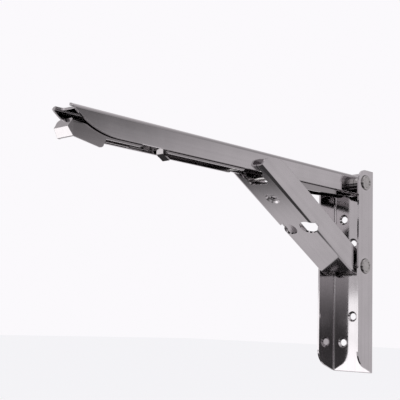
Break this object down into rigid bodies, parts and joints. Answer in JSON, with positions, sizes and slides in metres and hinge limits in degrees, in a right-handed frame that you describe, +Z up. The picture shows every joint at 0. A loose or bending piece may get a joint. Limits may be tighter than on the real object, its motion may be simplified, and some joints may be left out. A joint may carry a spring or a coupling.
{
  "type": "folding shelf bracket",
  "caption": "Folding shelf bracket: a level arm and a channel brace pinned in a wall channel, with a spring-loaded release lever inside the arm.",
  "frame": {"origin": "on the wall plane, at the height of the arm's hinge pin, in the middle of the bracket's width", "axes": "+Y into the wall (the arm reaches out along -Y), +Z up towards the shelf's underside, +X across the bracket"},
  "size_m": [0.0412, 0.3004, 0.16],
  "materials": {
    "channel_steel": "satin",
    "lever_steel": "polished",
    "pin_steel": "satin",
    "spring_steel": "satin"
  },
  "bodies": {
    "wall": {"wall_channel": "channel_steel", "arm_pin": "pin_steel", "near_arm_spacer": "pin_steel", "far_arm_spacer": "pin_steel", "ear_spacer": "pin_steel", "near_brace_rivet": "pin_steel", "far_brace_rivet": "pin_steel", "near_brace_washer": "pin_steel", "far_brace_washer": "pin_steel", "near_backing_washer": "pin_steel", "far_backing_washer": "pin_steel"},
    "arm": {"arm_channel": "channel_steel", "lever_spring": "spring_steel", "spring_eyelet": "pin_steel"},
    "brace": {"brace_channel": "channel_steel", "slide_pin": "pin_steel"},
    "lever": {"release_lever": "lever_steel", "lever_stay": "pin_steel"}
  },
  "joints": [
    {"name": "arm_fold", "type": "hinge", "parent": "wall", "child": "arm", "pos_m": [0, -0.0125, 0], "axis": [1, 0, 0], "range_deg": [0, 87.5]},
    {"name": "brace_fold", "type": "hinge", "parent": "wall", "child": "brace", "pos_m": [0, -0.0125, -0.0666], "axis": [1, 0, 0], "range_deg": [0, 120.4]},
    {"name": "lever_press", "type": "hinge", "parent": "arm", "child": "lever", "pos_m": [0, -0.0125, 0], "axis": [-1, 0, 0], "range_deg": [0, 1.1], "stiffness_Nm_per_rad": 2, "springref_deg": -28.65, "deforming": ["lever_spring"]}
  ],
  "couplings": [
    {"joint": "brace_fold", "follows": "arm_fold", "ratio": 1.376}
  ]
}
